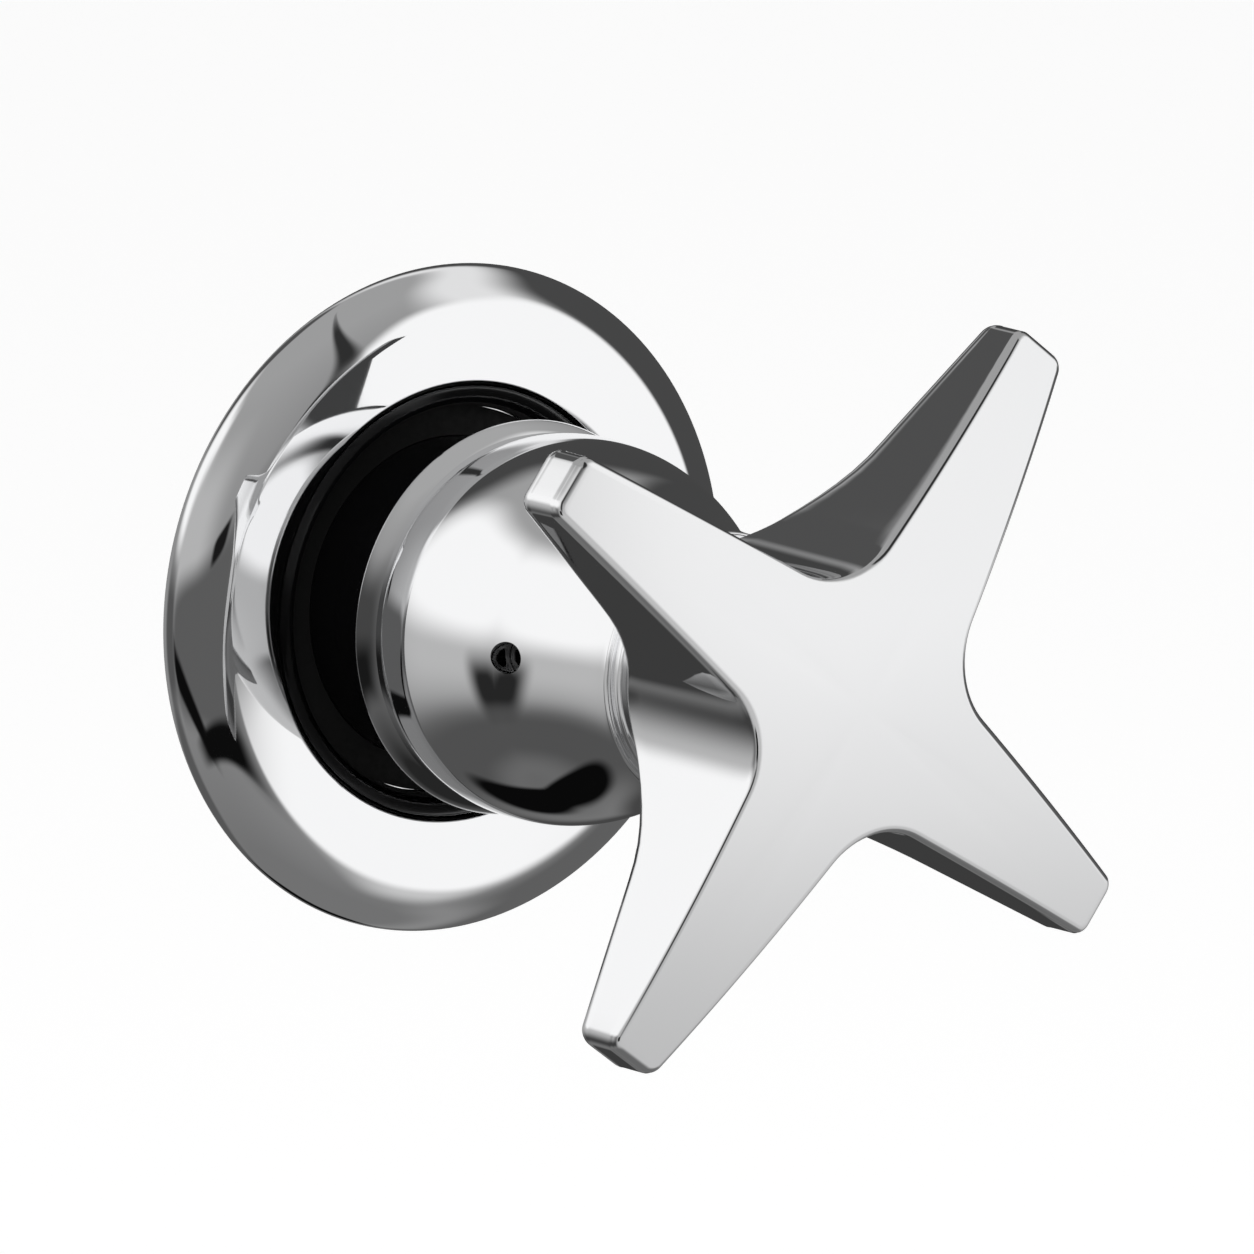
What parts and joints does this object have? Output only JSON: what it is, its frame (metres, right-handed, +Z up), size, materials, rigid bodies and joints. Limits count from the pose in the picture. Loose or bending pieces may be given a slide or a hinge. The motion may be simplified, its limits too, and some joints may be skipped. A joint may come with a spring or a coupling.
{
  "type": "shower tap",
  "caption": "Wall-mounted chrome shower tap with a cross handle on a bell-shaped skirt, a sliding, round-rimmed cover flange and a quarter-turn ceramic valve behind them.",
  "frame": {"origin": "centre of the cover flange, on the face of the wall", "axes": "+Z up, -Y along the tap's axis away from the wall towards the hand, +X to the right"},
  "size_m": [0.065, 0.0961, 0.065],
  "materials": {
    "polished_chrome": "mirror-polished chrome plating",
    "black_sleeve": "glossy black moulding",
    "brass": "turned brass, plain",
    "steel": "plain stainless steel",
    "black_rubber": "matt black rubber",
    "white_ceramic": "lapped white ceramic",
    "red_fibre": "red vulcanised fibre",
    "nylon": "natural nylon"
  },
  "bodies": {
    "valve": {"valve_body": "brass", "sleeve": "black_sleeve", "sleeve_washer": "steel", "sleeve_lock_nut": "brass", "fibre_washer": "red_fibre", "thrust_washer": "nylon", "fixed_disc": "white_ceramic", "seat_seal": "black_rubber"},
    "handle": {"cross_handle": "polished_chrome", "handle_bell": "polished_chrome", "handle_stud": "steel", "neck_ring": "polished_chrome", "grub_screw": "steel", "spline_insert": "brass", "spindle": "brass", "spindle_o_rings": "black_rubber", "spindle_clip": "steel", "stop_ring": "steel", "moving_disc": "white_ceramic"},
    "cover_flange": {"flange": "polished_chrome", "flange_o_ring": "black_rubber", "wall_gasket": "black_rubber"}
  },
  "joints": [
    {"name": "handle_turn", "type": "hinge", "parent": "valve", "child": "handle", "pos_m": [0, 0, 0], "axis": [0, -1, 0], "range_deg": [0, 90]},
    {"name": "flange_slide", "type": "slide", "parent": "valve", "child": "cover_flange", "axis": [0, -1, 0], "range_m": [0, 0.007]}
  ]
}
